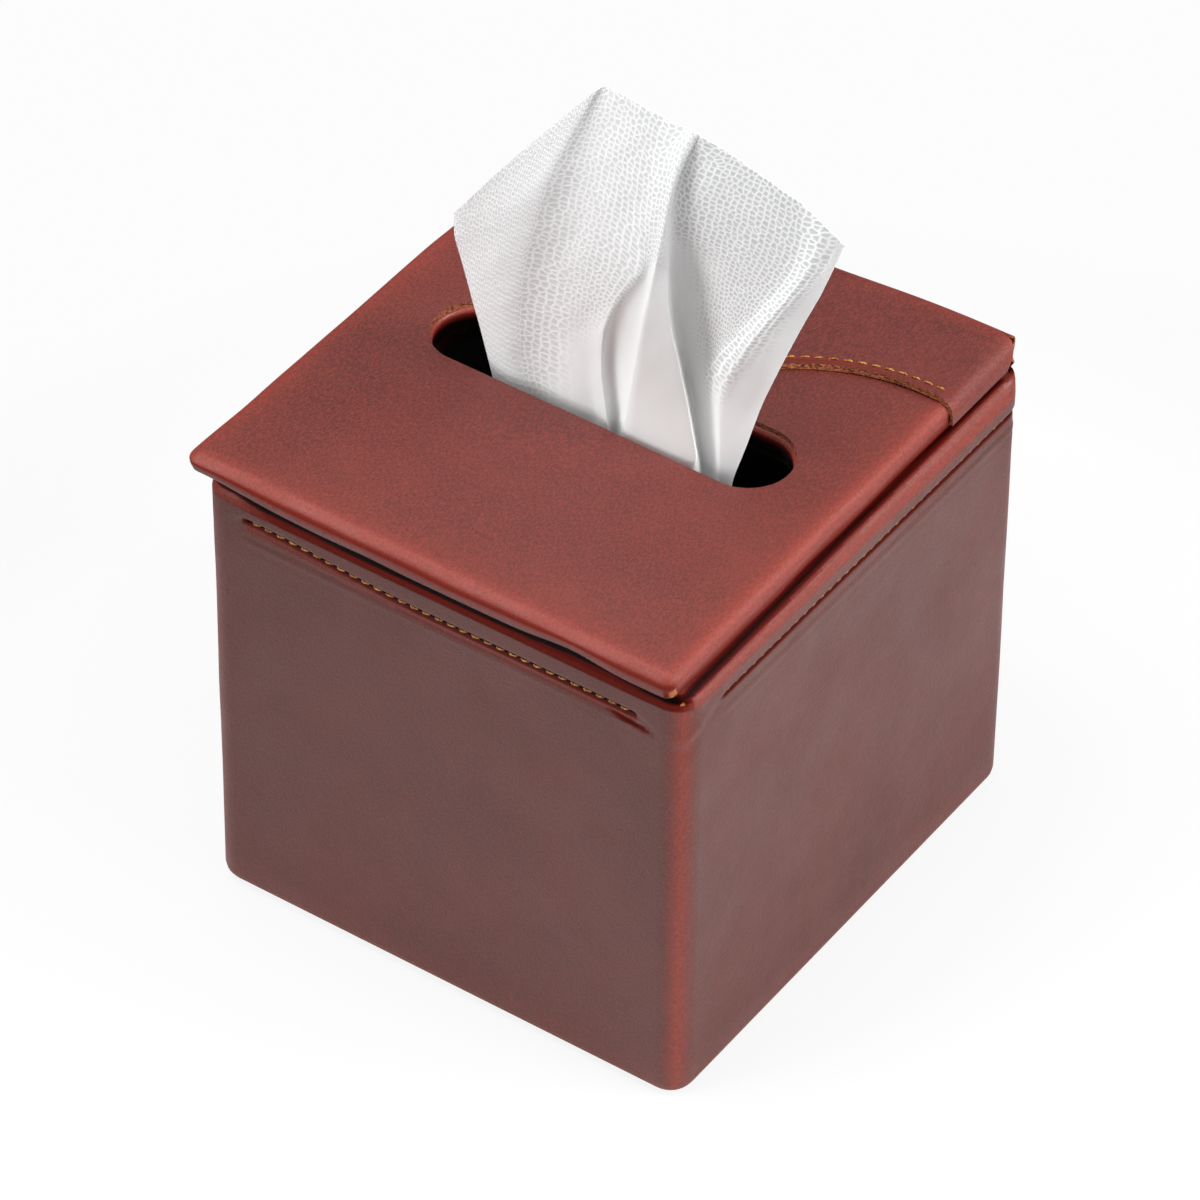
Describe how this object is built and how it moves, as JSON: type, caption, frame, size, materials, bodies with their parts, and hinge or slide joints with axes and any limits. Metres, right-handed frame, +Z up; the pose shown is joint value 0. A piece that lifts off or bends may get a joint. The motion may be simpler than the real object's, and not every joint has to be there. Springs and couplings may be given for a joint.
{
  "type": "tissue box",
  "caption": "Leather-covered cube tissue box with a strip-hinged lid and a stadium slot that a paper tissue stands out of.",
  "frame": {"origin": "on the table, under the middle of the box, on the face of the base pad", "axes": "+Z up; the front face looks along -Y and the lid is hinged along the back, at +Y; +X is to the right"},
  "size_m": [0.148, 0.1544, 0.2455],
  "materials": {
    "cover_leather": "smooth, waxed, soft sheen",
    "hinge_leather": "smooth, waxed, cut edge left tan",
    "collar_leather": "smooth, dark",
    "board": "fibreboard",
    "lining": "matt black",
    "thread": "twisted, waxed, olive gold",
    "pad": "suede",
    "tissue_paper": "embossed soft paper"
  },
  "bodies": {
    "box": {"front_board": "board", "back_board": "board", "left_board": "board", "right_board": "board", "rim_strips": "board", "base_board": "board", "base_pad": "pad", "floor_lining": "lining", "front_lining": "lining", "back_lining": "lining", "left_lining": "lining", "right_lining": "lining", "hinge_back_leather": "hinge_leather", "body_leather": "cover_leather", "tissue_stack": "tissue_paper", "front_stitches": "thread", "back_stitches": "thread", "left_stitches": "thread", "right_stitches": "thread"},
    "lid": {"lid_board": "board", "lid_leather": "cover_leather", "lid_hinge_leather": "hinge_leather", "lid_lining": "lining", "slot_collar": "collar_leather", "seam_stitches": "thread"},
    "tissue": {"pulled_tissue": "tissue_paper"}
  },
  "joints": [
    {"name": "lid_hinge", "type": "hinge", "parent": "box", "child": "lid", "pos_m": [0, 0.07515, 0.13615], "axis": [-1, 0, 0], "range_deg": [0, 170]},
    {"name": "tissue_pull", "type": "slide", "parent": "lid", "child": "tissue", "axis": [0, 0, 1], "range_m": [0, 0.09]}
  ]
}
